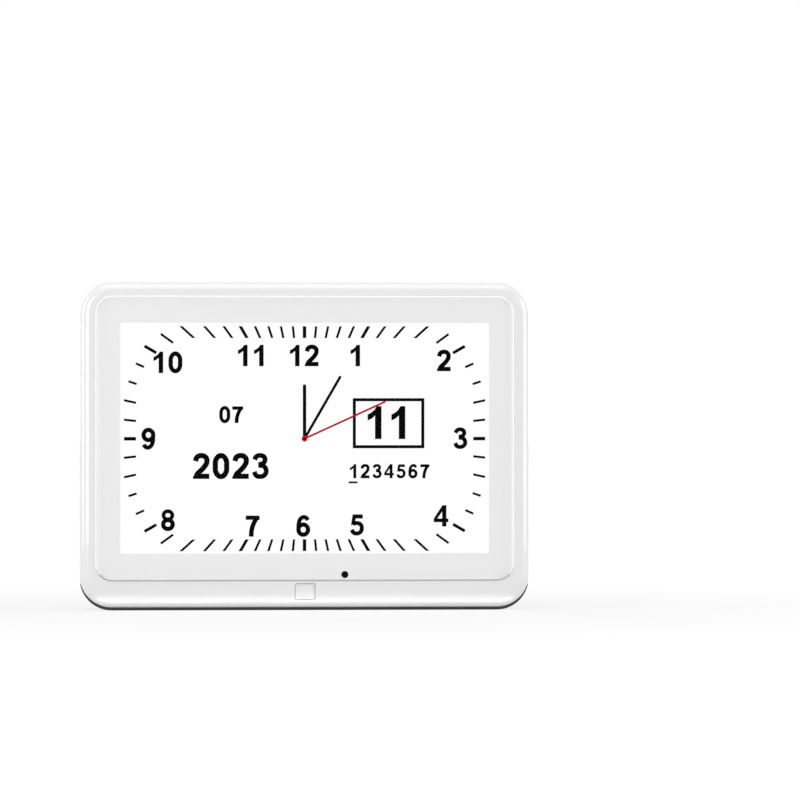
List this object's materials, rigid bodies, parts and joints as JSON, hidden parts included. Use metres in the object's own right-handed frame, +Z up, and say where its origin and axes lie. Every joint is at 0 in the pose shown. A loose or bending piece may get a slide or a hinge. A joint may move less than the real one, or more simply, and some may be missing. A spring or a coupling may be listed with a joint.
{
  "type": "digital prayer clock",
  "caption": "White tablet-like wall and desk clock: flat glass over a screen with an analogue dial, chin with a small window, rear keys, grille, keyholes and a fold-out leg.",
  "frame": {"origin": "on the table under the middle of the case, at the middle of its depth", "axes": "+X to the right as the dial is read, +Y from the glass to the back, +Z up"},
  "size_m": [0.21, 0.024, 0.1532],
  "materials": {
    "case_white": "glossy white moulded plastic with a deep clear shine",
    "cover_white": "white plastic with a fine spark-eroded grain",
    "clear_glass": "flat clear glass with a polished bevel",
    "print_white": "pale grey-white screen print behind the glass",
    "screen_white": "lit white screen, black and red marks",
    "adhesive": "black foam adhesive",
    "foam": "black soft foam",
    "tinned_steel": "thin tinned sheet",
    "tray_metal": "pressed sheet",
    "guide_acrylic": "white films over clear acrylic",
    "board_green": "green solder mask",
    "board_white": "white narrow board with LEDs",
    "part_black": "black moulded parts",
    "connector_white": "cream nylon",
    "brass": "turned brass",
    "screw_steel": "zinc plated steel",
    "window_milk": "milky window that lets infrared through",
    "rubber_black": "soft black rubber",
    "nylon": "natural nylon",
    "magnet": "nickelled magnet",
    "basket": "black painted steel",
    "cone_paper": "dark paper cone",
    "film_amber": "amber flexible circuit",
    "wire_red": "red and black insulation",
    "key_grey": "satin white keys",
    "plunger_black": "black switch buttons"
  },
  "bodies": {
    "case": {"front_frame": "case_white", "rear_cover": "cover_white", "cover_glass": "clear_glass", "mask_film": "print_white", "lcd_cell": "screen_white", "glass_tape": "adhesive", "screen_gasket": "foam", "speaker_gasket": "foam", "lcd_bezel": "tinned_steel", "chip_shield": "tinned_steel", "panel_brackets": "tinned_steel", "stand_retainers": "tinned_steel", "lcd_tray": "tray_metal", "light_guide": "guide_acrylic", "main_board": "board_green", "key_board": "board_green", "sensor_board": "board_green", "led_strip": "board_white", "board_chips": "part_black", "cell_holder": "part_black", "dc_socket": "part_black", "key_switches": "part_black", "light_sensor": "part_black", "ir_receiver": "part_black", "board_connectors": "connector_white", "board_spacers": "brass", "socket_pin": "brass", "case_screws": "screw_steel", "small_screws": "screw_steel", "board_screws": "screw_steel", "stand_pin": "screw_steel", "coin_cell": "screw_steel", "ir_window": "window_milk", "foot_strips": "rubber_black", "stand_washers": "nylon", "speaker_magnet": "magnet", "speaker_frame": "basket", "speaker_cone": "cone_paper", "screen_flex": "film_amber", "key_flex": "film_amber", "backlight_lead": "wire_red", "sensor_lead": "wire_red", "speaker_leads": "wire_red"},
    "stand": {"stand_leg": "cover_white", "stand_pad": "rubber_black"},
    "power_button": {"power_key": "key_grey", "power_plunger": "plunger_black"},
    "menu_button": {"menu_key": "key_grey", "menu_plunger": "plunger_black"},
    "back_button": {"back_key": "key_grey", "back_plunger": "plunger_black"},
    "up_button": {"up_key": "key_grey", "up_plunger": "plunger_black"},
    "down_button": {"down_key": "key_grey", "down_plunger": "plunger_black"},
    "enter_button": {"enter_key": "key_grey", "enter_plunger": "plunger_black"}
  },
  "joints": [
    {"name": "stand_hinge", "type": "hinge", "parent": "case", "child": "stand", "pos_m": [0, 0.0095, 0.0912], "axis": [1, 0, 0], "range_deg": [0, 28]},
    {"name": "power_press", "type": "slide", "parent": "case", "child": "power_button", "axis": [0, -1, 0], "range_m": [0, 0.0004], "stiffness_N_per_m": 1500, "springref_m": -0.0005},
    {"name": "menu_press", "type": "slide", "parent": "case", "child": "menu_button", "axis": [0, -1, 0], "range_m": [0, 0.0004], "stiffness_N_per_m": 1500, "springref_m": -0.0005},
    {"name": "back_press", "type": "slide", "parent": "case", "child": "back_button", "axis": [0, -1, 0], "range_m": [0, 0.0004], "stiffness_N_per_m": 1500, "springref_m": -0.0005},
    {"name": "up_press", "type": "slide", "parent": "case", "child": "up_button", "axis": [0, -1, 0], "range_m": [0, 0.0004], "stiffness_N_per_m": 1500, "springref_m": -0.0005},
    {"name": "down_press", "type": "slide", "parent": "case", "child": "down_button", "axis": [0, -1, 0], "range_m": [0, 0.0004], "stiffness_N_per_m": 1500, "springref_m": -0.0005},
    {"name": "enter_press", "type": "slide", "parent": "case", "child": "enter_button", "axis": [0, -1, 0], "range_m": [0, 0.0004], "stiffness_N_per_m": 1500, "springref_m": -0.0005}
  ]
}
